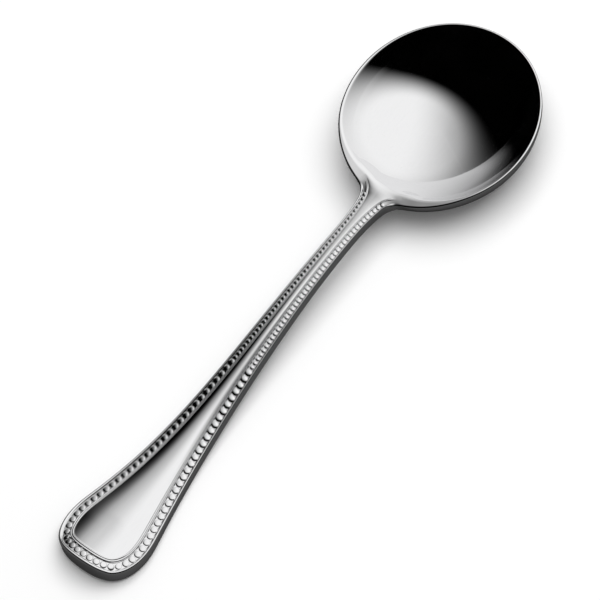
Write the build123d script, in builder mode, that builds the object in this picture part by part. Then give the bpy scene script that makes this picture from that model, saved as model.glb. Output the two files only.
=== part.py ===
"""Soup spoon with a round bowl and a pearl border round the handle.

The real spoon is struck from one blank of steel. Its zones are separate solids here, and they meet
face to face: the bowl, the neck, the shank, the two raised lines of the border and the pearls.

Frame: +X runs from the tip of the handle to the front of the bowl, +Z is up, and the table is z = 0.
The origin is on the table, half way along the spoon. The spoon is its own mirror image across y = 0.
"""
import os
from math import cos, radians, sin

from build123d import *

# Overall size
overall_length = 166.0

# Bowl, a round cup drawn out a little along the spoon
bowl_length = 51.4
bowl_width = 48.0
bowl_depth = 10.5
bowl_wall = 1.6

# Handle in plan: distance back from the tip or before the neck, and full width there.
# At the neck its edges open outwards by an angle.
corner_back, corner_width = 2.0, 16.0
end_back, end_width = 9.0, 22.2
bend_back, bend_width = 17.0, 20.2
shoulder_back, shoulder_width = 30.0, 14.9
middle_back, middle_width = 50.0, 9.8
taper_before_neck, taper_width = 36.6, 6.8
waist_before_neck, waist_width = 11.6, 5.5
neck_width = 6.8
neck_spread = 10.0

# Handle from the side: height of its raised edge above the table
tip_height = 6.0
rest_back = 28.0
slope_back, slope_height = 60.0, 6.5
crest_before_neck, crest_height = 21.6, 10.0
neck_height = 9.8
handle_thickness = 3.2
underside_round = 0.9
rest_wear = 0.1

# Border on the upper face, measured inwards from the handle's edge, at the tip and at the neck
channel_depth = 0.7
outer_rim_tip, outer_rim_neck = 0.95, 0.7
moulding_edge_tip, moulding_edge_neck = 2.95, 2.0
moulding_width_tip, moulding_width_neck = 1.0, 0.5
moulding_drop = 0.15

# Pearls, large round the wide end and small along the slim half, measured along their row from the tip
large_pearl, large_pearl_height, large_pitch = 1.55, 0.55, 1.85
small_pearl, small_pearl_height, small_pitch = 1.05, 0.45, 1.22
large_pearl_run = 67.0
pearl_end_gap = 1.0

# Neck, where the shank opens into the bowl and spreads into its lip
neck_length = 3.0
neck_end_thickness = 2.4
flare_angle = 16.0
flare_straight, flare_turn = 1.9, 2.0
rise_straight = 2.0
spout_half_width = 3.0
spout_reach = 4.0

# Places that follow from the sizes
tip_x = -overall_length / 2
bowl_x = overall_length / 2 - bowl_length / 2
edge_ends = [Vector(0, 1), Vector(cos(radians(neck_spread)), sin(radians(neck_spread)))]
handle_length = overall_length - bowl_length - neck_length
neck_x = tip_x + handle_length
rim_height = bowl_depth + bowl_wall
drawn_out = (bowl_length / bowl_width, 1, 1)
pearl_line_tip = (outer_rim_tip + moulding_edge_tip) / 2
pearl_line_neck = (outer_rim_neck + moulding_edge_neck) / 2
border_steps = 16
far_above = 40.0
overhang = 5.0
seat_accuracy = 1e-6


def bowl_profile(hollow):
    """Half section of the bowl with its rounded lip, or of all that lies inside and above it."""
    lip = bowl_wall / 2
    mid_width = bowl_width / 2 - lip
    mid_radius = (mid_width**2 + bowl_depth**2) / (2 * bowl_depth)
    centre = Vector(0, mid_radius + lip)
    to_lip = Vector(mid_width, bowl_depth - mid_radius).normalized()
    up = Vector(0, 1)
    lip_centre = centre + to_lip * mid_radius
    outer_end = lip_centre + to_lip * lip
    lip_side = lip_centre + (to_lip + up).normalized() * lip
    lip_top = lip_centre + up * lip
    inner_end = lip_centre - to_lip * lip
    above = rim_height + overhang
    with BuildSketch(Plane.XZ) as section:
        with BuildLine():
            RadiusArc((0, 0), outer_end, -(mid_radius + lip))
            ThreePointArc(outer_end, lip_side, lip_top)
            if hollow:
                ThreePointArc(lip_top, lip_centre + (up - to_lip).normalized() * lip, inner_end)
                RadiusArc(inner_end, (0, bowl_wall), mid_radius - lip)
                Line((0, bowl_wall), (0, 0))
            else:
                Polyline(lip_top, (lip_top.X, above), (0, above), (0, 0))
        make_face()
    return section.sketch


def half_edge():
    """The handle's edge on the +Y side, from the tip to the neck, as one curve."""
    stations = [
        (0, 0),
        (corner_back, corner_width / 2),
        (end_back, end_width / 2),
        (bend_back, bend_width / 2),
        (shoulder_back, shoulder_width / 2),
        (middle_back, middle_width / 2),
        (handle_length - taper_before_neck, taper_width / 2),
        (handle_length - waist_before_neck, waist_width / 2),
        (handle_length, neck_width / 2),
    ]
    points = [(tip_x + back, half_width) for back, half_width in stations]
    with BuildLine(mode=Mode.PRIVATE) as line:
        Spline(*points, tangents=edge_ends, tangent_scalars=[1, 1])
    return line.edge()


def half_line(inset_tip, inset_neck):
    """A curve beside the handle's edge, moved inwards by an amount that changes along the handle."""
    edge = half_edge()
    points = []
    for step in range(border_steps + 1):
        along = (step / border_steps) ** 2
        inset = inset_tip + (inset_neck - inset_tip) * along
        inwards = (edge % along).rotate(Axis.Z, -90)
        points.append(edge @ along + inwards * inset)
    with BuildLine(mode=Mode.PRIVATE) as line:
        Spline(*points, tangents=edge_ends, tangent_scalars=[1, 1])
    return line.edge()


def plan_face(half):
    """The face between a half curve, its mirror image and a straight end at the neck."""
    end = half @ 1
    with BuildSketch(Plane.XY.offset(-overhang)) as plan:
        with BuildLine():
            add(half)
            mirror(about=Plane.XZ)
            Line((end.X, end.Y), (end.X, -end.Y))
        make_face()
    return plan.sketch


def top_curve(drop):
    """The handle's side view, length along X and height along Y: its raised edge, lowered by drop."""
    stations = [
        (0, tip_height),
        (rest_back, handle_thickness - rest_wear),
        (slope_back, slope_height),
        (handle_length - crest_before_neck, crest_height),
        (handle_length, neck_height),
    ]
    points = [(tip_x + back, height - drop) for back, height in stations]
    with BuildLine(mode=Mode.PRIVATE) as line:
        Spline(*points)
    return line.edge()


def side_slab(upper_drop, lower_drop):
    """The space between two lowered copies of the raised edge, longer and wider than the handle."""
    corners = []
    with BuildPart(mode=Mode.PRIVATE) as slab:
        with BuildSketch(Plane.XZ):
            with BuildLine():
                for drop in (upper_drop, lower_drop):
                    curve = add(top_curve(drop)).edge()
                    before = Line(curve @ 0, curve @ 0 - (curve % 0) * overhang)
                    after = Line(curve @ 1, curve @ 1 + (curve % 1) * overhang)
                    corners.append((before @ 1, after @ 1))
                (upper_start, upper_end), (lower_start, lower_end) = corners
                Line(upper_start, lower_start)
                Line(upper_end, lower_end)
            make_face()
        extrude(amount=end_width, both=True)
    return slab.part


def border_strip(outer_half, inner_half, slab):
    """A raised strip of the border between two curves, as deep as the slab."""
    outer_plan, inner_plan = plan_face(outer_half), plan_face(inner_half)
    with BuildPart() as strip:
        add(outer_plan)
        extrude(amount=far_above)
        add(inner_plan)
        extrude(amount=far_above, mode=Mode.SUBTRACT)
        add(slab, mode=Mode.INTERSECT)
    return strip.part


def seat_on_floor(spot, floor):
    """The plane on the channel's floor at a point in plan, tilted as the floor is there."""
    low, high = 0.0, 1.0
    while high - low > seat_accuracy:
        middle = (low + high) / 2
        if (floor @ middle).X < spot.X:
            low = middle
        else:
            high = middle
    slope = floor % low
    origin = (spot.X, spot.Y, (floor @ low).Y)
    return Plane(origin, x_dir=(slope.X, 0, slope.Y), z_dir=(-slope.Y, 0, slope.X))


def pearl_seats(first, last, pitch):
    """Seats along the pearl line on both sides, from one distance along it to another."""
    line = half_line(pearl_line_tip, pearl_line_neck)
    floor = top_curve(channel_depth)
    seats = []
    count = int((last - first) / pitch) + 1
    for number in range(count):
        spot = line.position_at(first + number * pitch, position_mode=PositionMode.LENGTH)
        seats.append(seat_on_floor(spot, floor))
        if spot.Y > pitch / 2:
            seats.append(seat_on_floor(Vector(spot.X, -spot.Y), floor))
    return seats


def lip_spot():
    """Where the neck's edge runs into the lip on the +Y side, and the lip's direction there."""
    angle = radians(180 - flare_angle)
    spot = Vector(bowl_x + bowl_length / 2 * cos(angle), bowl_width / 2 * sin(angle))
    run = Vector(-bowl_length * sin(angle), bowl_width * cos(angle)).normalized()
    return spot, run


def flare_curve():
    """The neck's edge on the +Y side, straight on from the shank and then round into the lip."""
    start = Vector(neck_x, neck_width / 2)
    spot, run = lip_spot()
    with BuildLine(mode=Mode.PRIVATE) as line:
        Bezier(start, start + edge_ends[1] * flare_straight, spot + run * flare_turn, spot)
    return line.edge()


def rise_curve(start_drop, end_drop):
    """The neck's side view, length along X and height along Y: from the shank up to the lip."""
    start = Vector(neck_x, neck_height - start_drop)
    end = Vector(lip_spot()[0].X, rim_height - end_drop)
    level = Vector(rise_straight, 0)
    with BuildLine(mode=Mode.PRIVATE) as line:
        Bezier(start, start + level, end - level, end)
    return line.edge()


def neck_slab():
    """The space between the neck's upper and lower lines, wider than the neck."""
    upper, lower = rise_curve(0, 0), rise_curve(handle_thickness, neck_end_thickness)
    with BuildPart(mode=Mode.PRIVATE) as slab:
        with BuildSketch(Plane.XZ):
            with BuildLine():
                add(upper)
                add(lower)
                Line(upper @ 0, lower @ 0)
                Line(upper @ 1, lower @ 1)
            make_face()
        extrude(amount=bowl_width, both=True)
    return slab.part


def spout_cutter():
    """The space over the panel where it runs through the neck and over the lip into the bowl."""
    floor = rise_curve(channel_depth, channel_depth)
    start, end = floor @ 0, floor @ 1
    inner_x = end.X + spout_reach
    near_half = neck_width / 2 - outer_rim_neck
    with BuildPart(mode=Mode.PRIVATE) as cutter:
        with BuildSketch(Plane.XZ):
            with BuildLine():
                add(floor)
                Polyline(end, (inner_x, end.Y), (inner_x, far_above), (start.X, far_above), start)
            make_face()
        extrude(amount=bowl_width, both=True)
        with BuildSketch(Plane.XY.offset(-overhang)):
            with BuildLine():
                Polyline(
                    (start.X, near_half),
                    (inner_x, spout_half_width),
                    (inner_x, -spout_half_width),
                    (start.X, -near_half),
                    close=True,
                )
            make_face()
        extrude(amount=2 * far_above, mode=Mode.INTERSECT)
    return cutter.part


def pearl_row(seats, width, height):
    """Domes of one size, each the cap of a ball that is sunk into the channel's floor."""
    radius = (width**2 / 4 + height**2) / (2 * height)
    centres = [seat.offset(height - radius) for seat in seats]
    above_floor = side_slab(-far_above, channel_depth)
    with BuildPart() as row:
        with Locations(*centres):
            Sphere(radius)
        add(above_floor, mode=Mode.INTERSECT)
    return row.part


# Bowl
with BuildPart() as bowl:
    add(bowl_profile(hollow=True))
    revolve(axis=Axis.Z)
    scale(by=drawn_out)
bowl.part.position = (bowl_x, 0, 0)
spout = spout_cutter()
with BuildPart() as open_bowl:
    add(bowl.part)
    add(spout, mode=Mode.SUBTRACT)

# Bowl filled to its brim, used to shape the end of the neck
with BuildPart() as filled_bowl:
    add(bowl_profile(hollow=False))
    revolve(axis=Axis.Z)
    scale(by=drawn_out)
filled_bowl.part.position = (bowl_x, 0, 0)

# Shank, with the sunken panel and the floor of the pearl channel as its upper face
shank_plan = plan_face(half_edge())
shank_slab = side_slab(channel_depth, handle_thickness)
with BuildPart() as shank:
    add(shank_plan)
    extrude(amount=far_above)
    add(shank_slab, mode=Mode.INTERSECT)
    underside = shank.faces().sort_by(Axis.Z)[0]
    long_edges = underside.edges().sort_by(Axis.X)[:-1]
    fillet(long_edges, underside_round)
    split(bisect_by=Plane.XY, keep=Keep.TOP)

# Outer rim and inner moulding, the raised lines on each side of the pearls
outer_rim = border_strip(
    half_edge(),
    half_line(outer_rim_tip, outer_rim_neck),
    side_slab(0, channel_depth),
)
inner_moulding = border_strip(
    half_line(moulding_edge_tip, moulding_edge_neck),
    half_line(moulding_edge_tip + moulding_width_tip, moulding_edge_neck + moulding_width_neck),
    side_slab(moulding_drop, channel_depth),
)

# Pearls, each a dome that stands on the channel's floor
pearl_run = half_line(pearl_line_tip, pearl_line_neck).length - pearl_end_gap
step_at = large_pitch * round(large_pearl_run / large_pitch)
first_small = step_at + (large_pitch + small_pitch) / 2
large_pearls = pearl_row(pearl_seats(0, step_at, large_pitch), large_pearl, large_pearl_height)
small_pearls = pearl_row(pearl_seats(first_small, pearl_run, small_pitch), small_pearl, small_pearl_height)

# Neck, flared in plan, rising to the lip, cut to the bowl's wall and opened by the spout
with BuildSketch(Plane.XY.offset(-overhang)) as neck_plan:
    with BuildLine():
        flare = add(flare_curve()).edge()
        mirror(about=Plane.XZ)
        Line(((flare @ 0).X, (flare @ 0).Y), ((flare @ 0).X, -(flare @ 0).Y))
        Line(((flare @ 1).X, (flare @ 1).Y), ((flare @ 1).X, -(flare @ 1).Y))
    make_face()
between_lines = neck_slab()
with BuildPart() as neck:
    add(neck_plan.sketch)
    extrude(amount=far_above)
    add(between_lines, mode=Mode.INTERSECT)
    add(filled_bowl.part, mode=Mode.SUBTRACT)
    add(spout, mode=Mode.SUBTRACT)

pieces = {
    "bowl": open_bowl.part,
    "neck": neck.part,
    "shank": shank.part,
    "outer_rim": outer_rim,
    "inner_moulding": inner_moulding,
    "large_pearls": large_pearls,
    "small_pearls": small_pearls,
}
os.makedirs("parts", exist_ok=True)
for name, piece in pieces.items():
    piece.label = name
    export_step(piece, f"parts/{name}.step")
    print(name, len(piece.solids()), "solids", round(piece.volume, 2), "mm3", piece.bounding_box())
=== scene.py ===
"""Soup spoon: a struck steel skin with a thin bowl lip, a framed handle panel and rows of pearls."""

import math

import bmesh
import bpy
import numpy as np
from bpy.props import FloatProperty, FloatVectorProperty, IntProperty, PointerProperty
from bpy.types import Operator, Panel, PropertyGroup
from mathutils import Matrix, Vector


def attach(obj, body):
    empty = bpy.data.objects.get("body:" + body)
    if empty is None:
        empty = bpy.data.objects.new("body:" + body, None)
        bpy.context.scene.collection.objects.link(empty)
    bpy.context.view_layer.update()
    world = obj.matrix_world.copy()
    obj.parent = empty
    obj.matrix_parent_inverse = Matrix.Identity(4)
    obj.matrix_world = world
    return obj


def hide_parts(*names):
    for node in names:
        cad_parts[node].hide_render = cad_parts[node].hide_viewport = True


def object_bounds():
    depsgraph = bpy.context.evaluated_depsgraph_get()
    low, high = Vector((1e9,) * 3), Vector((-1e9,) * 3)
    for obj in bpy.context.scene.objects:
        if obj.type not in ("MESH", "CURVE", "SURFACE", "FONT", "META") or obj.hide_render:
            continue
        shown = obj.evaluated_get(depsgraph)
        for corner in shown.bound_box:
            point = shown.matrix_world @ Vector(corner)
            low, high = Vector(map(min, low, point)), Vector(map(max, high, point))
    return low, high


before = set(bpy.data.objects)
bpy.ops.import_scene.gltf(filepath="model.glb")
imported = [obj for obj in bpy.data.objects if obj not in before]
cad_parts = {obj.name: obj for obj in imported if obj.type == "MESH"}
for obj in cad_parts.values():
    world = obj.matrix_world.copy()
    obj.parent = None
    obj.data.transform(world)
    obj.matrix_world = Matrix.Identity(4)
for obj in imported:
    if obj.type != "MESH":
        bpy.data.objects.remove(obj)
cad_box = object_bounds()

bl_info = {
    "name": "Soup Spoon",
    "version": (1, 0, 0),
    "blender": (4, 5, 0),
    "location": "View3D > Sidebar > Spoon",
    "description": "Builds a polished soup spoon with a pearl border and its studio",
    "category": "Object",
}

# Plan of the handle: distance back from the tip, and half width there
EDGE_STATIONS = (
    (0.0, 0.0),
    (0.0020, 0.0080),
    (0.0090, 0.0111),
    (0.0170, 0.0101),
    (0.0300, 0.00745),
    (0.0500, 0.0049),
    (0.0750, 0.0034),
    (0.1000, 0.00275),
    (0.1116, 0.0034),
)
# Side view of the handle: distance back from the tip, and height of its raised edge
HEIGHT_STATIONS = (
    (0.0, 0.0052),
    (0.0280, 0.0031),
    (0.0600, 0.0065),
    (0.0900, 0.0100),
    (0.1116, 0.0098),
)
# Direction of the handle's edge where it meets the neck, off the mid line
NECK_SPREAD = math.radians(10)

# Border across the handle: the rim's width, how far in the moulding starts, and the moulding's width
BORDER_AT_NECK = np.array([0.00062, 0.00158, 0.00038])
BORDER_AT_TIP = np.array([0.00099, 0.00295, 0.00100])
# Section of the rim and of the moulding: share of the width, and drop in channel depths
RIM_STOPS = (
    (0.00, 1.25),
    (0.08, 0.84),
    (0.18, 0.45),
    (0.30, 0.14),
    (0.43, 0.00),
    (0.62, 0.08),
    (0.82, 0.34),
    (0.98, 0.72),
    (1.06, 0.92),
    (1.16, 1.00),
)
MOULDING_STOPS = (
    (-0.14, 1.00),
    (-0.04, 0.92),
    (0.04, 0.50),
    (0.12, 0.22),
    (0.22, 0.14),
    (0.34, 0.16),
    (0.44, 0.30),
    (0.50, 0.40),
    (0.56, 0.30),
    (0.68, 0.15),
    (0.82, 0.16),
    (0.93, 0.32),
    (1.00, 0.55),
)
# Columns of the border that the rim, the middle of the channel and the moulding take
RIM_COLUMNS = (0, 7)
CHANNEL_COLUMN = len(RIM_STOPS)
MOULDING_COLUMNS = (CHANNEL_COLUMN + 2, CHANNEL_COLUMN + len(MOULDING_STOPS))

# Arch of the handle's face: height at the panel's edge, and the least half width of the panel
ARCH_BASE = 0.00035
LEAST_PANEL = 0.0004
# Crown of the panel: how its height falls off, its share at the neck, and how far on it is whole
CROWN_POWER = 2.3
CROWN_AT_NECK = 0.4
CROWN_WHOLE_FROM = 0.4
# Distance over which the panel leaves the height of the moulding beside it
STEP_REACH = 0.0044

# Neck, in shares of its length from the lip: where the border is whole, rises, and takes pearls
BORDER_WHOLE_AT = 0.6
RELIEF_FROM, RELIEF_TO = 0.25, 0.65
PEARLS_FROM = 0.5
# Rows end on the mid line: round the tip at one point, and past the neck in a fan
FAN_CENTRE_BACK = 0.0105
FAN_FROM_NECK = 0.010

# Bowl: how far in from the edge the columns outside and inside it reach, and how they gather at the lip
UNDER_REACH = 0.0025
BORDER_REACH = 0.0035
WALL_POWER = 1.6
# Bowl's inside: softness of its turn into the lip, its start in lip radii, most of a ball it may take
EDGE_SOFTNESS = 0.0004
INSIDE_FROM_EDGE = 1.5
INSIDE_MOST = 0.98
# Lift that keeps the handle's back clear of the bowl's outside on the bowl's rows
CLEAR_ABOVE = 0.006

# Fineness of the curves, and of the skin in rows along the outline and columns across it
CURVE_SAMPLES = 1200
RIM_SAMPLES = 200
FLARE_SAMPLES = 80
RIM_ROW_PITCH = 0.0009
NECK_ROW_PITCH = 0.0003
ROW_PITCH = 0.0006
UNDER_COLUMNS = 16
SIDE_COLUMNS = 9
LIP_COLUMNS = 7
TOP_COLUMNS = 20
# How the columns of the handle's side gather below the rim
SIDE_POWER = 3
# Points that count as one, and the mirror image across the mid plane
SAME_PLACE = 1e-9
MERGE_WITHIN = 1e-7
LEAST_LENGTH = 1e-15
MIRROR = np.array([1.0, -1.0, 1.0])

# Marks of the buffing wheel: hairlines along the spoon, and a haze that dulls the mirror a little
HAIR_SCALE = (120, 2600, 2600)
HAIR_DETAIL = 4.0
HAIR_SHADE = 0.96
HAZE_SCALE = 160.0
HAZE_DETAIL = 5.0
HAZE_SPREAD = (0.3, 0.7)
POLISH_ROUGHNESS = (0.03, 0.06)

# White of the studio's sky, as directions: an oval patch, and a slow fall to black on one side
PATCH_CENTRE = (0.517, 0.039, 0.0)
PATCH_SQUEEZE = (1.0, 0.735, 0.0)
PATCH_EDGE = (0.426, 0.740)
FALL_DIRECTION = (-0.630, 0.776, 0.0)
FALL_EDGE = (-0.41, 0.79)
# Light of the white fill on what isn't polished
FILL_LEVEL = 0.38

# Camera, worked out from the photograph's perspective
CAMERA_PLACE = (-0.3564, -0.4552, 1.0650)
CAMERA_RIGHT = (0.61252, -0.77996, -0.12841)
CAMERA_UP = (0.73304, 0.49970, 0.46146)
CAMERA_LENS = 304.5
CAMERA_SENSOR = 36.0
CAMERA_SIGHT = 20.0

# Softbox over the spoon, and half the table's side
SOFTBOX_PLACE = (0.32, -0.04, 1.08)
SOFTBOX_SIZE = 1.15
TABLE_HALF = 3.0

# Name in the frame: the one body
BODY = "root"


class BowlSizes(PropertyGroup):
    """Sizes of the bowl and of the neck that carries it."""

    length: FloatProperty(name="Length", description="Along the spoon", default=0.0514, unit="LENGTH")
    width: FloatProperty(name="Width", description="Across the spoon", default=0.0480, unit="LENGTH")
    depth: FloatProperty(name="Depth", description="From lip to inside", default=0.0105, unit="LENGTH")
    wall: FloatProperty(name="Wall", description="Steel at the bottom", default=0.0016, unit="LENGTH")
    lip: FloatProperty(name="Lip", description="Radius of the thin edge", default=0.0004, unit="LENGTH")
    steepness: FloatProperty(name="Steepness", description="Of the outer wall below the lip", default=2.25)
    roll: FloatProperty(
        name="Roll", description="Softness of the turn into the bowl", default=0.0016, unit="LENGTH"
    )
    flare_angle: FloatProperty(
        name="Flare",
        description="Half angle of the lip that opens into the neck",
        default=math.radians(16),
        subtype="ANGLE",
    )
    flare_straight: FloatProperty(
        name="Flare straight", description="Of the neck's edge", default=0.0019, unit="LENGTH"
    )
    flare_turn: FloatProperty(
        name="Flare turn", description="Of the neck's edge into the lip", default=0.0020, unit="LENGTH"
    )
    dip_angle: FloatProperty(
        name="Dip",
        description="Half angle of the lip that dips towards the neck",
        default=math.radians(62),
        subtype="ANGLE",
    )
    border_angle: FloatProperty(
        name="Border end",
        description="Half angle of the lip over which the border runs out",
        default=math.radians(28),
        subtype="ANGLE",
    )


class HandleSizes(PropertyGroup):
    """Sizes of the handle's section."""

    thickness: FloatProperty(name="Thickness", description="Of the edge", default=0.0032, unit="LENGTH")
    tip_extra: FloatProperty(
        name="Tip extra", description="Thickness added at the tip", default=0.0010, unit="LENGTH"
    )
    tip_reach: FloatProperty(
        name="Tip reach", description="Where the added thickness ends", default=0.022, unit="LENGTH"
    )
    under_round: FloatProperty(
        name="Underside round", description="Radius below", default=0.0006, unit="LENGTH"
    )
    channel_depth: FloatProperty(
        name="Channel depth", description="Below the rim", default=0.00045, unit="LENGTH"
    )
    camber: FloatProperty(name="Camber", description="Slope of the border across the handle", default=0.22)
    crown: FloatProperty(name="Crown", description="Slope of the panel at its long edges", default=0.62)
    crown_reach: FloatProperty(
        name="Crown reach", description="Where the panel becomes flat", default=0.0072, unit="LENGTH"
    )


class PearlSizes(PropertyGroup):
    """Sizes of the pearls in the border."""

    large: FloatProperty(name="Large pearl", description="Diameter", default=0.00178, unit="LENGTH")
    large_height: FloatProperty(
        name="Large height", description="Above the channel", default=0.00015, unit="LENGTH"
    )
    large_pitch: FloatProperty(name="Large pitch", description="Spacing", default=0.00185, unit="LENGTH")
    large_run: FloatProperty(name="Large run", description="From the tip", default=0.067, unit="LENGTH")
    small: FloatProperty(name="Small pearl", description="Diameter", default=0.00108, unit="LENGTH")
    small_height: FloatProperty(
        name="Small height", description="Above the channel", default=0.00011, unit="LENGTH"
    )
    small_pitch: FloatProperty(name="Small pitch", description="Spacing", default=0.00122, unit="LENGTH")
    end_gap: FloatProperty(name="End gap", description="Before the lip", default=0.0003, unit="LENGTH")
    sides: IntProperty(name="Sides", description="Faces round one pearl", default=12, min=6)
    rings: IntProperty(name="Rings", description="Faces from top to bottom", default=6, min=4)


class FinishLook(PropertyGroup):
    """Colours of the steel and of the studio."""

    steel: FloatVectorProperty(
        name="Steel",
        description="Colour of the polish",
        default=(0.88, 0.88, 0.885),
        size=3,
        subtype="COLOR",
    )
    floor: FloatVectorProperty(
        name="Floor",
        description="Colour of the table",
        default=(0.95, 0.95, 0.95),
        size=3,
        subtype="COLOR",
    )
    # Painted reflection shade: the table turns dark only for glossy rays, so the steel shows a painted dark
    # reflection of it
    flag: FloatVectorProperty(
        name="Painted reflection shade",
        description="Table as the steel shows it",
        default=(0.08, 0.08, 0.08),
        size=3,
        subtype="COLOR",
    )
    soft_light: FloatProperty(
        name="Soft light", description="Power of the softbox", default=12.5, unit="POWER"
    )


class SmoothCurve:
    """A smooth curve through points: one cubic from each point to the next, over the chord length."""

    def __init__(self, points, start=None, end=None):
        self.points = np.array(points, float)
        self.spans = np.linalg.norm(np.diff(self.points, axis=0), axis=1)
        self.knots = np.concatenate([[0.0], np.cumsum(self.spans)])
        count = len(self.points)
        system = np.zeros((count, count))
        wanted = np.zeros_like(self.points)
        system[0, 0] = system[-1, -1] = 1.0
        wanted[0] = self.end_slope(0, 1, 2) if start is None else start
        wanted[-1] = self.end_slope(-1, -2, -3) if end is None else end
        for index in range(1, count - 1):
            before, after = self.spans[index - 1], self.spans[index]
            system[index, index - 1 : index + 2] = after, 2 * (before + after), before
            step_before = self.points[index] - self.points[index - 1]
            step_after = self.points[index + 1] - self.points[index]
            wanted[index] = 3 * (after / before * step_before + before / after * step_after)
        self.slopes = np.linalg.solve(system, wanted)

    def end_slope(self, first, second, third):
        """Slope at an end, from the parabola through the three points there."""
        a = self.knots[second] - self.knots[first]
        b = self.knots[third] - self.knots[first]
        to_second = (self.points[second] - self.points[first]) / a
        to_third = (self.points[third] - self.points[first]) / b
        return (b * to_second - a * to_third) / (b - a)

    def samples(self, count):
        """Points at even steps of chord length."""
        places = np.linspace(0, self.knots[-1], count)
        spans = np.clip(np.searchsorted(self.knots, places, "right") - 1, 0, len(self.spans) - 1)
        width = self.spans[spans][:, None]
        t = ((places - self.knots[spans]) / self.spans[spans])[:, None]
        a, b = self.points[spans], self.points[spans + 1]
        da, db = self.slopes[spans] * width, self.slopes[spans + 1] * width
        return (
            a * (1 + 2 * t) * (1 - t) ** 2
            + da * t * (1 - t) ** 2
            + b * t**2 * (3 - 2 * t)
            + db * t**2 * (t - 1)
        )


def ease(value, low, high):
    """Smooth rise from 0 at low to 1 at high."""
    t = np.clip((value - low) / (high - low), 0, 1)
    return t * t * (3 - 2 * t)


def softer_of(a, b, softness):
    """The lower of two heights, with a rounded change from one to the other."""
    blend = np.clip(0.5 + 0.5 * (b - a) / softness, 0, 1)
    return b * (1 - blend) + a * blend - softness * blend * (1 - blend)


def lengths_along(points):
    """Distance along a chain of points, from its first."""
    return np.concatenate([[0.0], np.cumsum(np.linalg.norm(np.diff(points, axis=0), axis=1))])


def spread(points, pitch):
    """The same chain of points at an even pitch."""
    along = lengths_along(points)
    places = np.linspace(0, along[-1], max(2, round(along[-1] / pitch) + 1))
    return np.column_stack([np.interp(places, along, points[:, axis]) for axis in range(2)])


class SpoonForm:
    """The spoon's surfaces as formulas: its outline in plan, its top and its underside."""

    def __init__(self, bowl, handle):
        self.bowl, self.handle = bowl, handle
        low, high = cad_box
        self.tip_x = low[0]
        self.bowl_x = high[0] - bowl.length / 2
        self.stretch = bowl.length / bowl.width
        self.rim_height = bowl.depth + bowl.wall
        inside_width = bowl.width / 2 - INSIDE_FROM_EDGE * bowl.lip
        self.inside_radius = (inside_width**2 + bowl.depth**2) / (2 * bowl.depth)
        self.neck_run = np.array([math.cos(NECK_SPREAD), math.sin(NECK_SPREAD)])
        self.handle_edge = SmoothCurve(
            [(self.tip_x + back, half) for back, half in EDGE_STATIONS], start=(0, 1), end=self.neck_run
        ).samples(CURVE_SAMPLES)
        self.heights = SmoothCurve(
            [(self.tip_x + back, height) for back, height in HEIGHT_STATIONS]
        ).samples(CURVE_SAMPLES)
        self.neck_x = self.handle_edge[-1, 0]

    def around(self, spot):
        """Distance from the middle of the bowl, as if it were round."""
        return math.hypot((spot[0] - self.bowl_x) / self.stretch, spot[1])

    def inside(self, spot):
        """Height of the bowl's inside, part of a ball that goes on up past the lip."""
        across = min(self.around(spot), INSIDE_MOST * self.inside_radius)
        return self.bowl.wall + self.inside_radius - math.sqrt(self.inside_radius**2 - across**2)

    def outside(self, spot, edge):
        """Height of the bowl's outside, which is upright at the lip and flat at the bottom."""
        share = min(self.around(spot) / (self.bowl.width / 2), 1.0)
        power = self.bowl.steepness
        return (edge - self.bowl.lip) * (1 - (1 - share**power) ** (1 / power))

    def handle_height(self, x):
        """Height of the handle's raised edge, carried on level past the neck."""
        return float(np.interp(x, self.heights[:, 0], self.heights[:, 1]))

    def back_height(self, x):
        """Height of the handle's back, which is a little further down at the tip."""
        extra = self.handle.tip_extra * (1 - ease(x - self.tip_x, 0, self.handle.tip_reach))
        return max(self.handle_height(x) - self.handle.thickness - float(extra), 0.0)

    def rim_curve(self):
        """The bowl's lip in plan on the +Y side, from its front to where the neck begins."""
        angles = np.linspace(0, math.pi - self.bowl.flare_angle, RIM_SAMPLES)
        x = self.bowl_x + self.bowl.length / 2 * np.cos(angles)
        return np.column_stack([x, self.bowl.width / 2 * np.sin(angles)])

    def flare_curve(self, rim):
        """The neck's edge in plan, from the lip to the shank."""
        onwards = rim[-1] - rim[-2]
        onwards = onwards / np.linalg.norm(onwards)
        joint = self.handle_edge[-1]
        corner_a = rim[-1] + onwards * self.bowl.flare_turn
        corner_b = joint + self.neck_run * self.bowl.flare_straight
        t = np.linspace(0, 1, FLARE_SAMPLES)[:, None]
        near_lip = rim[-1] * (1 - t) ** 3 + 3 * corner_a * t * (1 - t) ** 2
        return near_lip + 3 * corner_b * t**2 * (1 - t) + joint * t**3

    def half_outline(self):
        """Rows of the +Y half, from the front of the bowl round the neck to the tip of the handle."""
        rim = self.rim_curve()
        parts = [
            spread(rim, RIM_ROW_PITCH),
            spread(self.flare_curve(rim), NECK_ROW_PITCH),
            spread(self.handle_edge[::-1], ROW_PITCH),
        ]
        self.neck_row = len(parts[0]) - 1
        self.seam_row = self.neck_row + len(parts[1]) - 1
        return np.concatenate([parts[0], parts[1][1:], parts[2][1:]])


class Row:
    """What one row of the skin needs: its place on the outline and how much of a handle it is."""

    def __init__(self, point, inward, edge, lift, is_handle, relief, tipness, middle_x, half_panel):
        self.point, self.inward = point, inward
        self.edge, self.lift = edge, lift
        self.is_handle, self.relief, self.tipness = is_handle, relief, tipness
        self.middle = np.array([middle_x, 0.0])
        self.half_panel = half_panel

    def mixed(self, on_handle, on_bowl):
        """A value between the handle's and the bowl's."""
        return self.is_handle * on_handle + (1 - self.is_handle) * on_bowl

    def spot(self, inset):
        """The point in plan that lies this far inside the outline."""
        return self.point + self.inward * inset


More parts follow.
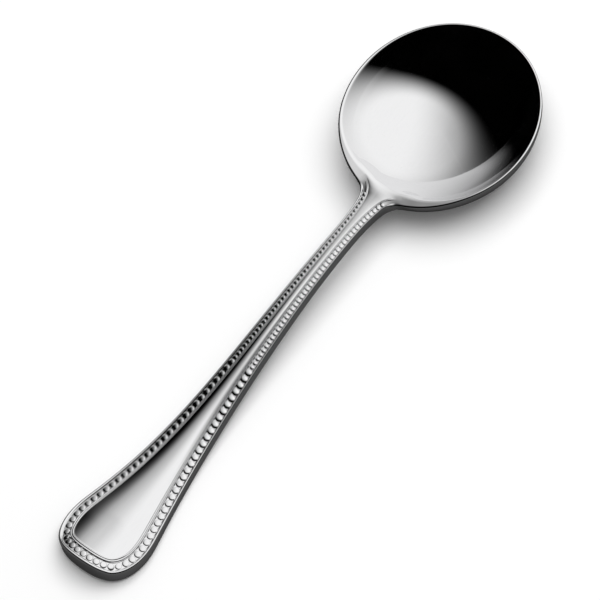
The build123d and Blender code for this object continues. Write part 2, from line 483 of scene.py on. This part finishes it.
def border_profile(form, tipness):
    """Insets and drops of the handle's upper border: rim, channel, moulding and the panel's edge."""
    rim, moulding, width = BORDER_AT_NECK + (BORDER_AT_TIP - BORDER_AT_NECK) * tipness
    stops = [(share * rim, drop) for share, drop in RIM_STOPS]
    stops.append(((rim + moulding) / 2, 1.0))
    stops += [(moulding + share * width, drop) for share, drop in MOULDING_STOPS]
    insets, drops = np.array(stops).T
    return insets, form.handle.channel_depth * drops


def arch_height(form, row, y):
    """Height of the handle's arched face over its raised edge, at a distance from the mid line."""
    beyond = abs(y) - row.half_panel
    if beyond > 0:
        return ARCH_BASE - form.handle.camber * beyond
    reach = min(form.handle.crown_reach, row.half_panel)
    fallen = max(beyond + reach, 0.0) / reach
    share = CROWN_AT_NECK + (1 - CROWN_AT_NECK) * float(ease(row.tipness, 0.0, CROWN_WHOLE_FROM))
    return ARCH_BASE + share * form.handle.crown * reach / CROWN_POWER * (1 - fallen**CROWN_POWER)


def underside_points(form, row):
    """The underside, from the middle outwards."""
    start = row.spot(row.mixed(form.handle.under_round, UNDER_REACH))
    points = []
    for share in np.linspace(1, 0, UNDER_COLUMNS):
        spot = start + (row.middle - start) * share
        back = form.back_height(spot[0]) + (1 - row.is_handle) * CLEAR_ABOVE
        height = softer_of(form.outside(spot, row.edge), back, form.bowl.roll)
        points.append((spot[0], spot[1], max(float(height), 0.0)))
    return points


def side_points(form, row, wall_top):
    """The rounded lower edge and the upright side of the handle, or the bowl's outer wall."""
    rounding = form.handle.under_round
    base = form.back_height(row.point[0])
    points = []
    for turn in np.linspace(0, 1, SIDE_COLUMNS)[1:]:
        swing = min(turn * 2, 1.0) * math.pi / 2
        upright = 1 - (1 - max(turn * 2 - 1, 0.0)) ** SIDE_POWER
        handle_height = base + rounding * (1 - math.cos(swing))
        handle_height += upright * (wall_top - base - rounding)
        inset = row.mixed(rounding * (1 - math.sin(swing)), UNDER_REACH * (1 - turn) ** 2)
        spot = row.spot(inset)
        points.append((spot[0], spot[1], row.mixed(handle_height, form.outside(spot, row.edge))))
    return points


def lip_height(form, row, spot, inset):
    """Height of the bowl's thin lip and of its inside next to the lip."""
    lip = form.bowl.lip
    if inset >= lip:
        return float(softer_of(form.inside(spot), row.edge, EDGE_SOFTNESS))
    crest = float(softer_of(form.inside(row.spot(lip)), row.edge, EDGE_SOFTNESS))
    return crest - lip + math.sqrt(lip**2 - (lip - inset) ** 2)


def border_points(form, row, insets, drops):
    """The border of the handle, which is the lip and the upper wall of the bowl on other rows."""
    lip_turns = np.linspace(0, math.pi / 2, LIP_COLUMNS)
    lip_insets = form.bowl.lip * (1 - np.cos(lip_turns))
    shares = np.linspace(0, 1, len(insets) - LIP_COLUMNS + 1)[1:]
    wall_insets = form.bowl.lip + (BORDER_REACH - form.bowl.lip) * shares**WALL_POWER
    bowl_insets = np.concatenate([lip_insets, wall_insets])
    points = []
    depth = form.handle.channel_depth
    for handle_inset, drop, bowl_inset in zip(insets, drops, bowl_insets):
        spot = row.spot(row.mixed(handle_inset, bowl_inset))
        on_handle = form.handle_height(spot[0]) + row.lift + arch_height(form, row, spot[1])
        on_handle += (depth - drop) * row.relief - depth
        points.append((spot[0], spot[1], row.mixed(on_handle, lip_height(form, row, spot, bowl_inset))))
    return points


def panel_points(form, row, start, drop):
    """The crowned panel of the handle, rolled over into the inside of the bowl."""
    start = np.array(start)
    length = np.linalg.norm(row.middle - start[:2])
    depth = form.handle.channel_depth
    above = row.lift - depth + (depth - drop) * row.relief

    def height_at(share):
        spot = start[:2] + (row.middle - start[:2]) * share
        on_handle = form.handle_height(spot[0]) + arch_height(form, row, spot[1]) + above
        level = row.mixed(on_handle, row.edge)
        return spot, float(softer_of(form.inside(spot), level, form.bowl.roll))

    step_up = start[2] - height_at(0.0)[1]
    points = []
    for share in np.linspace(0, 1, TOP_COLUMNS + 1)[1:]:
        spot, height = height_at(share)
        height += step_up * float(1 - ease(share * length, 0, STEP_REACH))
        points.append((spot[0], spot[1], height))
    return points


def section(form, row):
    """One row of the skin, from the middle of the underside round the edge to the middle of the top."""
    insets, drops = border_profile(form, row.tipness)
    under = underside_points(form, row)
    border = border_points(form, row, insets, drops)
    side = side_points(form, row, border[0][2])
    return under + side + border + panel_points(form, row, border[-1], drops[-1])


def outline_rows(form):
    """Every row of the +Y half, from the front of the bowl to the tip of the handle."""
    half = form.half_outline()
    along = lengths_along(half)
    tangent = np.gradient(half, along, axis=0)
    tangent /= np.linalg.norm(tangent, axis=1)[:, None]
    inward = np.column_stack([-tangent[:, 1], tangent[:, 0]])
    inward[0] = (-1.0, 0.0)
    inward[-1] = (1.0, 0.0)
    neck_start, neck_end = along[form.neck_row], along[form.seam_row]
    lip = half[: form.neck_row + 1]
    turned = np.arctan2(lip[:, 1] * form.stretch, form.bowl_x - lip[:, 0])

    def along_at(angle):
        return np.interp(-angle, -turned, along[: form.neck_row + 1])

    dip = ease(along, along_at(form.bowl.dip_angle), neck_end)
    shank_height = np.array([form.handle_height(x) for x in half[:, 0]])
    edge = form.rim_height * (1 - dip) + shank_height * dip
    neck = neck_end - neck_start
    is_handle = ease(along, along_at(form.bowl.border_angle), neck_start + BORDER_WHOLE_AT * neck)
    relief = ease(along, neck_start + RELIEF_FROM * neck, neck_start + RELIEF_TO * neck)
    tipness = np.clip((along - neck_end) / (along[-1] - neck_end), 0, 1)
    fan_start = along_at(form.bowl.dip_angle)
    fan_x = form.neck_x - FAN_FROM_NECK
    fan_end = np.interp(-fan_x, -half[form.seam_row :, 0], along[form.seam_row :])
    middle_x = np.interp(along, [fan_start, fan_end], [form.bowl_x, fan_x])
    on_axis = np.maximum(half[:, 0], form.tip_x + FAN_CENTRE_BACK)
    middle_x = np.where(along > fan_end, on_axis, middle_x)
    lift = np.where(along < neck_end, edge - shank_height, 0.0)
    border_width = np.array([border_profile(form, share)[0][-1] for share in tipness])
    half_panel = np.maximum((half + inward * border_width[:, None])[:, 1], LEAST_PANEL)
    widest = form.seam_row + int(np.argmax(half_panel[form.seam_row :]))
    half_panel[widest:] = half_panel[widest]
    columns = (half, inward, edge, lift, is_handle, relief, tipness, middle_x, half_panel)
    return [Row(*values) for values in zip(*columns)]


def build_grid(form):
    """The whole skin as a grid: a row for each outline point, columns from the underside to the top."""
    grid = np.array([section(form, row) for row in outline_rows(form)])
    grid[0, :, 1] = 0.0
    grid[-1, :, 1] = 0.0
    return grid


def grid_normals(grid):
    """Outward direction at each point of the grid, weighted by the faces around it."""
    padded = np.concatenate([grid[1:2] * MIRROR, grid, grid[-2:-1] * MIRROR])
    padded = np.concatenate([padded[:, 1:2] * MIRROR, padded, padded[:, -2:-1] * MIRROR], axis=1)
    diagonal_a = padded[1:, 1:] - padded[:-1, :-1]
    diagonal_b = padded[:-1, 1:] - padded[1:, :-1]
    faces = np.cross(diagonal_a, diagonal_b)
    total = faces[:-1, :-1] + faces[1:, :-1] + faces[:-1, 1:] + faces[1:, 1:]
    if total[0, -1, 2] < 0:
        total = -total
    for column in (0, -1):
        places = grid[:, column, 0]
        for pole in (places[0], places[-1]):
            shared = np.abs(places - pole) < SAME_PLACE
            total[shared, column] = total[shared, column].sum(axis=0) * (1, 0, 1)
    return total / np.maximum(np.linalg.norm(total, axis=2), LEAST_LENGTH)[:, :, None]


def skin_faces(part, closed):
    """Faces over one half of a piece and its mirror image, with a cap on each end off the mid plane."""
    row_count, column_count = part.shape[:2]
    half = row_count * column_count
    strips = column_count if closed else column_count - 1
    faces = []
    for side in (0, half):
        for row in range(row_count - 1):
            low, high = side + row * column_count, side + (row + 1) * column_count
            for column in range(strips):
                after = (column + 1) % column_count
                quad = [low + column, low + after, high + after, high + column]
                faces.append(quad if side == 0 else quad[::-1])
    for row in (0, row_count - 1):
        if np.all(np.abs(part[row, :, 1]) < SAME_PLACE):
            continue
        left = [row * column_count + column for column in range(column_count)]
        right = [half + index for index in left]
        faces.extend([left, right] if closed else [left + right[::-1]])
    return faces


def merged_mesh(mesh, directions):
    """Merge the points that the halves share, and shade the mesh by the directions given for its points."""
    work = bmesh.new()
    work.from_mesh(mesh)
    layer = work.verts.layers.float_vector.new("outward")
    work.verts.ensure_lookup_table()
    for vertex, direction in zip(work.verts, directions):
        vertex[layer] = direction
    bmesh.ops.remove_doubles(work, verts=work.verts, dist=MERGE_WITHIN)
    bmesh.ops.dissolve_degenerate(work, edges=work.edges, dist=MERGE_WITHIN)
    bmesh.ops.recalc_face_normals(work, faces=work.faces)
    for face in work.faces:
        face.smooth = True
    work.to_mesh(mesh)
    kept = [tuple(vertex[layer]) for vertex in work.verts]
    work.free()
    mesh.attributes.remove(mesh.attributes["outward"])
    mesh.normals_split_custom_set_from_vertices(kept)


def placed(name, mesh, material):
    """An object in the scene for a finished mesh, with its material."""
    mesh.materials.clear()
    mesh.materials.append(material)
    piece = bpy.data.objects.new(name, mesh)
    bpy.context.scene.collection.objects.link(piece)
    return piece


def skin_piece(name, grid, normals, rows, columns, closed, material):
    """One closed piece of the skin: some rows and columns of the grid, and their mirror image."""
    part = grid[rows[0] : rows[1]][:, columns]
    part_normals = normals[rows[0] : rows[1]][:, columns]
    points = np.concatenate([part.reshape(-1, 3), (part * MIRROR).reshape(-1, 3)])
    directions = np.concatenate([part_normals.reshape(-1, 3), (part_normals * MIRROR).reshape(-1, 3)])
    mesh = bpy.data.meshes.new(name)
    mesh.from_pydata(points.tolist(), [], skin_faces(part, closed))
    merged_mesh(mesh, directions)
    return placed(name, mesh, material)


def polished_steel(look):
    """Mirror-polished steel with the faint haze and hairlines of a buffing wheel."""
    material = bpy.data.materials.get("polished_steel_finish")
    if material:
        return material
    material = bpy.data.materials.new("polished_steel_finish")
    material.use_nodes = True
    nodes, links = material.node_tree.nodes, material.node_tree.links
    shader = nodes["Principled BSDF"]
    shader.inputs["Metallic"].default_value = 1.0
    place = nodes.new("ShaderNodeTexCoord")
    stretch = nodes.new("ShaderNodeMapping")
    stretch.inputs["Scale"].default_value = HAIR_SCALE
    links.new(place.outputs["Object"], stretch.inputs["Vector"])
    hairs = nodes.new("ShaderNodeTexNoise")
    hairs.inputs["Scale"].default_value = 1.0
    hairs.inputs["Detail"].default_value = HAIR_DETAIL
    links.new(stretch.outputs["Vector"], hairs.inputs["Vector"])
    haze = nodes.new("ShaderNodeTexNoise")
    haze.inputs["Scale"].default_value = HAZE_SCALE
    haze.inputs["Detail"].default_value = HAZE_DETAIL
    links.new(place.outputs["Object"], haze.inputs["Vector"])
    rough = nodes.new("ShaderNodeMapRange")
    for name, value in zip(("From Min", "From Max", "To Min", "To Max"), HAZE_SPREAD + POLISH_ROUGHNESS):
        rough.inputs[name].default_value = value
    links.new(haze.outputs["Fac"], rough.inputs["Value"])
    links.new(rough.outputs["Result"], shader.inputs["Roughness"])
    tint = nodes.new("ShaderNodeMix")
    tint.data_type = "RGBA"
    tint.inputs["A"].default_value = (*[channel * HAIR_SHADE for channel in look.steel], 1)
    tint.inputs["B"].default_value = (*look.steel, 1)
    links.new(hairs.outputs["Fac"], tint.inputs["Factor"])
    links.new(tint.outputs["Result"], shader.inputs["Base Color"])
    return material


def pearl_tree():
    """Geometry Nodes: flattened pearls set at an even pitch along a row, each upright on its seat."""
    tree = bpy.data.node_groups.get("pearl_row")
    if tree:
        return tree
    tree = bpy.data.node_groups.new("pearl_row", "GeometryNodeTree")
    for name, kind in (
        ("Row", "NodeSocketGeometry"),
        ("Count", "NodeSocketInt"),
        ("Radius", "NodeSocketFloat"),
        ("Shape", "NodeSocketVector"),
        ("Sides", "NodeSocketInt"),
        ("Rings", "NodeSocketInt"),
        ("Finish", "NodeSocketMaterial"),
    ):
        tree.interface.new_socket(name, in_out="INPUT", socket_type=kind)
    tree.interface.new_socket("Pearls", in_out="OUTPUT", socket_type="NodeSocketGeometry")
    nodes, links = tree.nodes, tree.links
    given = nodes.new("NodeGroupInput")
    result = nodes.new("NodeGroupOutput")
    chain = nodes.new("GeometryNodeMeshToCurve")
    seats = nodes.new("GeometryNodeResampleCurve")
    seats.mode = "COUNT"
    ball = nodes.new("GeometryNodeMeshUVSphere")
    outward = nodes.new("GeometryNodeInputNamedAttribute")
    outward.data_type = "FLOAT_VECTOR"
    outward.inputs["Name"].default_value = "outward"
    upright = nodes.new("FunctionNodeAlignRotationToVector")
    upright.axis = "Z"
    seated = nodes.new("GeometryNodeInstanceOnPoints")
    real = nodes.new("GeometryNodeRealizeInstances")
    smooth = nodes.new("GeometryNodeSetShadeSmooth")
    finish = nodes.new("GeometryNodeSetMaterial")
    links.new(given.outputs["Row"], chain.inputs["Mesh"])
    links.new(chain.outputs["Curve"], seats.inputs["Curve"])
    links.new(given.outputs["Count"], seats.inputs["Count"])
    links.new(given.outputs["Radius"], ball.inputs["Radius"])
    links.new(given.outputs["Sides"], ball.inputs["Segments"])
    links.new(given.outputs["Rings"], ball.inputs["Rings"])
    links.new(outward.outputs["Attribute"], upright.inputs["Vector"])
    links.new(seats.outputs["Curve"], seated.inputs["Points"])
    links.new(ball.outputs["Mesh"], seated.inputs["Instance"])
    links.new(upright.outputs["Rotation"], seated.inputs["Rotation"])
    links.new(given.outputs["Shape"], seated.inputs["Scale"])
    links.new(seated.outputs["Instances"], real.inputs["Geometry"])
    links.new(real.outputs["Geometry"], smooth.inputs["Geometry"])
    links.new(smooth.outputs["Geometry"], finish.inputs["Geometry"])
    links.new(given.outputs["Finish"], finish.inputs["Material"])
    links.new(finish.outputs["Geometry"], result.inputs["Pearls"])
    return tree


def pearl_mesh(line, count, values):
    """A mesh of pearls along one row of seats, each seat a place and the direction outwards there."""
    tree = pearl_tree()
    mesh = bpy.data.meshes.new("pearl_line")
    mesh.from_pydata(line[:, :3].tolist(), [(index, index + 1) for index in range(len(line) - 1)], [])
    outward = mesh.attributes.new("outward", "FLOAT_VECTOR", "POINT")
    outward.data.foreach_set("vector", line[:, 3:].ravel())
    holder = bpy.data.objects.new("pearl_line", mesh)
    bpy.context.scene.collection.objects.link(holder)
    modifier = holder.modifiers.new("pearls", "NODES")
    modifier.node_group = tree
    values = {"Count": count, **values}
    for socket in tree.interface.items_tree:
        if socket.in_out == "INPUT" and socket.name in values:
            modifier[socket.identifier] = values[socket.name]
    graph = bpy.context.evaluated_depsgraph_get()
    pearls = bpy.data.meshes.new_from_object(holder.evaluated_get(graph), depsgraph=graph)
    bpy.data.objects.remove(holder)
    bpy.data.meshes.remove(mesh)
    return pearls


def joined(name, meshes, material):
    """One object that holds several meshes."""
    work = bmesh.new()
    for mesh in meshes:
        work.from_mesh(mesh)
        bpy.data.meshes.remove(mesh)
    mesh = bpy.data.meshes.new(name)
    for face in work.faces:
        face.smooth = True
        face.material_index = 0
    work.to_mesh(mesh)
    work.free()
    return placed(name, mesh, material)


def part_of_line(line, start, end):
    """The stretch of a row of seats between two distances along it."""
    along = lengths_along(line[:, :3])
    inner = (along > start) & (along < end)
    ends = [[np.interp(place, along, values) for values in line.T] for place in (start, end)]
    return np.concatenate([[ends[0]], line[inner], [ends[1]]])


def keep(piece, *nodes):
    """The piece rides on the spoon and stands for these nodes, which it hides."""
    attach(piece, BODY)
    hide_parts(*nodes)


class SpoonOperator:
    """What the operators share: the sizes, the skin's grid and the steel."""

    bl_options = {"REGISTER", "UNDO"}

    def ready(self, context):
        scene = context.scene
        self.form = SpoonForm(scene.spoon_bowl, scene.spoon_handle)
        self.grid = build_grid(self.form)
        self.normals = grid_normals(self.grid)
        self.seam = self.form.seam_row
        self.steel = polished_steel(scene.spoon_look)
        self.border = UNDER_COLUMNS + SIDE_COLUMNS - 1


class SPOON_OT_bowl(SpoonOperator, Operator):
    """Make the bowl with its thin lip and the neck that opens into it"""

    bl_idname = "spoon.bowl"
    bl_label = "Bowl"

    def execute(self, context):
        self.ready(context)
        columns = list(range(self.grid.shape[1]))
        rows = (0, self.seam + 1)
        piece = skin_piece("bowl_skin", self.grid, self.normals, rows, columns, False, self.steel)
        keep(piece, "bowl", "neck")
        return {"FINISHED"}


class SPOON_OT_handle(SpoonOperator, Operator):
    """Make the handle with its sunken panel"""

    bl_idname = "spoon.handle"
    bl_label = "Handle"

    def execute(self, context):
        self.ready(context)
        rim, moulding = [[self.border + end for end in span] for span in (RIM_COLUMNS, MOULDING_COLUMNS)]
        columns = list(range(rim[0] + 1)) + list(range(rim[1], moulding[0] + 1))
        columns += list(range(moulding[1], self.grid.shape[1]))
        rows = (self.seam, self.grid.shape[0])
        piece = skin_piece("handle_skin", self.grid, self.normals, rows, columns, False, self.steel)
        keep(piece, "shank")
        return {"FINISHED"}


class SPOON_OT_border(SpoonOperator, Operator):
    """Make the raised rim and the fine moulding on each side of the pearls"""

    bl_idname = "spoon.border"
    bl_label = "Border"

    def execute(self, context):
        self.ready(context)
        rows = (self.seam, self.grid.shape[0])
        for name, node, span in (
            ("outer_rim_skin", "outer_rim", RIM_COLUMNS),
            ("inner_moulding_skin", "inner_moulding", MOULDING_COLUMNS),
        ):
            columns = list(range(self.border + span[0], self.border + span[1] + 1))
            piece = skin_piece(name, self.grid, self.normals, rows, columns, True, self.steel)
            keep(piece, node)
        return {"FINISHED"}


class SPOON_OT_pearls(SpoonOperator, Operator):
    """Set the two sizes of pearls in the channel of the border"""

    bl_idname = "spoon.pearls"
    bl_label = "Pearls"

    def values(self, sizes, diameter, height):
        """What the node tree is given for pearls of one size."""
        return {
            "Radius": diameter / 2,
            "Shape": (1.0, 1.0, height / (diameter / 2)),
            "Sides": sizes.sides,
            "Rings": sizes.rings,
            "Finish": self.steel,
        }

    def execute(self, context):
        self.ready(context)
        sizes = context.scene.spoon_pearls
        column = self.border + CHANNEL_COLUMN
        first_row = self.form.neck_row + round(PEARLS_FROM * (self.seam - self.form.neck_row))
        seats = (self.grid[first_row:, column], self.normals[first_row:, column])
        line = np.concatenate(seats, axis=1)[::-1]
        flip = np.concatenate([MIRROR, MIRROR])
        steps = round(sizes.large_run / sizes.large_pitch)
        reach = steps * sizes.large_pitch
        near = part_of_line(line, 0.0, reach)
        whole = np.concatenate([(near * flip)[:0:-1], near])
        large = pearl_mesh(whole, 2 * steps + 1, self.values(sizes, sizes.large, sizes.large_height))
        keep(joined("large_pearl_row", [large], self.steel), "large_pearls")
        first = reach + (sizes.large_pitch + sizes.small_pitch) / 2
        last = lengths_along(line[:, :3])[-1] - sizes.end_gap
        count = int((last - first) / sizes.small_pitch) + 1
        far = part_of_line(line, first, first + (count - 1) * sizes.small_pitch)
        small = self.values(sizes, sizes.small, sizes.small_height)
        rows = [pearl_mesh(side, count, small) for side in (far, far * flip)]
        keep(joined("small_pearl_rows", rows, self.steel), "small_pearls")
        return {"FINISHED"}


def studio_sky(world):
    """White all round, and for polished steel black round a soft white patch over the bowl's front."""
    world.use_nodes = True
    nodes, links = world.node_tree.nodes, world.node_tree.links
    nodes.clear()
    place = nodes.new("ShaderNodeTexCoord")

    def vector_math(operation, source, value=None):
        step = nodes.new("ShaderNodeVectorMath")
        step.operation = operation
        links.new(source, step.inputs[0])
        if value:
            step.inputs[1].default_value = value
        return step

    def fading(source, white_to, black_from):
        fade = nodes.new("ShaderNodeMapRange")
        fade.interpolation_type = "SMOOTHSTEP"
        fade.inputs["From Min"].default_value = white_to
        fade.inputs["From Max"].default_value = black_from
        fade.inputs["To Min"].default_value = 1.0
        fade.inputs["To Max"].default_value = 0.0
        links.new(source, fade.inputs["Value"])
        return fade.outputs["Result"]

    direction = place.outputs["Generated"]
    from_centre = vector_math("SUBTRACT", direction, PATCH_CENTRE).outputs["Vector"]
    squeezed = vector_math("MULTIPLY", from_centre, PATCH_SQUEEZE).outputs["Vector"]
    patch = fading(vector_math("LENGTH", squeezed).outputs["Value"], *PATCH_EDGE)
    fall = fading(vector_math("DOT_PRODUCT", direction, FALL_DIRECTION).outputs["Value"], *FALL_EDGE)
    level = nodes.new("ShaderNodeMath")
    level.operation = "MULTIPLY"
    links.new(patch, level.inputs[0])
    links.new(fall, level.inputs[1])
    sky = nodes.new("ShaderNodeBackground")
    sky.inputs["Color"].default_value = (1, 1, 1, 1)
    links.new(level.outputs["Value"], sky.inputs["Strength"])
    paths = nodes.new("ShaderNodeLightPath")
    fill = nodes.new("ShaderNodeMapRange")
    fill.inputs["To Min"].default_value = FILL_LEVEL
    fill.inputs["To Max"].default_value = 1.0
    links.new(paths.outputs["Is Camera Ray"], fill.inputs["Value"])
    white = nodes.new("ShaderNodeBackground")
    white.inputs["Color"].default_value = (1, 1, 1, 1)
    links.new(fill.outputs["Result"], white.inputs["Strength"])
    either = nodes.new("ShaderNodeMixShader")
    links.new(paths.outputs["Is Glossy Ray"], either.inputs["Fac"])
    links.new(white.outputs["Background"], either.inputs[1])
    links.new(sky.outputs["Background"], either.inputs[2])
    result = nodes.new("ShaderNodeOutputWorld")
    links.new(either.outputs["Shader"], result.inputs["Surface"])


def table_paper(look):
    """White paper, which the polished steel shows with a painted dark reflection tone in place of its
    white.
    """
    finish = bpy.data.materials.new("table_paper")
    finish.use_nodes = True
    nodes, links = finish.node_tree.nodes, finish.node_tree.links
    shader = nodes["Principled BSDF"]
    shader.inputs["Roughness"].default_value = 1.0
    shader.inputs["Specular IOR Level"].default_value = 0.0
    paths = nodes.new("ShaderNodeLightPath")
    tone = nodes.new("ShaderNodeMix")
    tone.data_type = "RGBA"
    tone.inputs["A"].default_value = (*look.floor, 1)
    tone.inputs["B"].default_value = (*look.flag, 1)
    # Glossy rays see the painted reflection shade in place of the white paper
    links.new(paths.outputs["Is Glossy Ray"], tone.inputs["Factor"])
    links.new(tone.outputs["Result"], shader.inputs["Base Color"])
    return finish


class SPOON_OT_stage(Operator):
    """Set the table, the soft light, the studio's sky and the camera"""

    bl_idname = "spoon.stage"
    bl_label = "Stage"

    def table(self, scene):
        corners = [(-1, -1), (1, -1), (1, 1), (-1, 1)]
        mesh = bpy.data.meshes.new("table")
        mesh.from_pydata([(x * TABLE_HALF, y * TABLE_HALF, 0) for x, y in corners], [], [(0, 1, 2, 3)])
        mesh.materials.append(table_paper(scene.spoon_look))
        table = bpy.data.objects.new("table", mesh)
        scene.collection.objects.link(table)

    def softbox(self, scene):
        light = bpy.data.lights.new("softbox", "AREA")
        light.shape = "SQUARE"
        light.size = SOFTBOX_SIZE
        light.energy = scene.spoon_look.soft_light
        lamp = bpy.data.objects.new("softbox", light)
        lamp.location = SOFTBOX_PLACE
        lamp.rotation_euler = (-Vector(SOFTBOX_PLACE)).to_track_quat("-Z", "Y").to_euler()
        lamp.visible_glossy = False
        lamp.visible_camera = False
        scene.collection.objects.link(lamp)

    def camera(self, scene):
        right, up = Vector(CAMERA_RIGHT), Vector(CAMERA_UP)
        data = bpy.data.cameras.new("camera")
        data.lens = CAMERA_LENS
        data.sensor_width = CAMERA_SENSOR
        data.clip_end = CAMERA_SIGHT
        camera = bpy.data.objects.new("camera", data)
        turn = Matrix((right, up, right.cross(up))).transposed().to_4x4()
        camera.matrix_world = Matrix.Translation(CAMERA_PLACE) @ turn
        scene.collection.objects.link(camera)
        scene.camera = camera

    def execute(self, context):
        scene = context.scene
        self.table(scene)
        self.softbox(scene)
        self.camera(scene)
        if scene.world is None:
            scene.world = bpy.data.worlds.new("studio")
        studio_sky(scene.world)
        scene.view_settings.view_transform = "Standard"
        return {"FINISHED"}


class SPOON_PT_panel(Panel):
    """Lists the spoon's operators"""

    bl_label = "Soup Spoon"
    bl_idname = "SPOON_PT_panel"
    bl_space_type = "VIEW_3D"
    bl_region_type = "UI"
    bl_category = "Spoon"

    def draw(self, context):
        for operator in OPERATORS:
            self.layout.operator(operator.bl_idname)


OPERATORS = (SPOON_OT_bowl, SPOON_OT_handle, SPOON_OT_border, SPOON_OT_pearls, SPOON_OT_stage)
GROUPS = {
    "spoon_bowl": BowlSizes,
    "spoon_handle": HandleSizes,
    "spoon_pearls": PearlSizes,
    "spoon_look": FinishLook,
}


def register():
    for group in GROUPS.values():
        bpy.utils.register_class(group)
    for name, group in GROUPS.items():
        setattr(bpy.types.Scene, name, PointerProperty(type=group))
    for operator in OPERATORS:
        bpy.utils.register_class(operator)
    bpy.utils.register_class(SPOON_PT_panel)


def unregister():
    bpy.utils.unregister_class(SPOON_PT_panel)
    for operator in reversed(OPERATORS):
        bpy.utils.unregister_class(operator)
    for name, group in GROUPS.items():
        delattr(bpy.types.Scene, name)
        bpy.utils.unregister_class(group)


def main():
    register()
    bpy.ops.spoon.bowl()
    bpy.ops.spoon.handle()
    bpy.ops.spoon.border()
    bpy.ops.spoon.pearls()
    bpy.ops.spoon.stage()


if __name__ == "__main__":
    main()
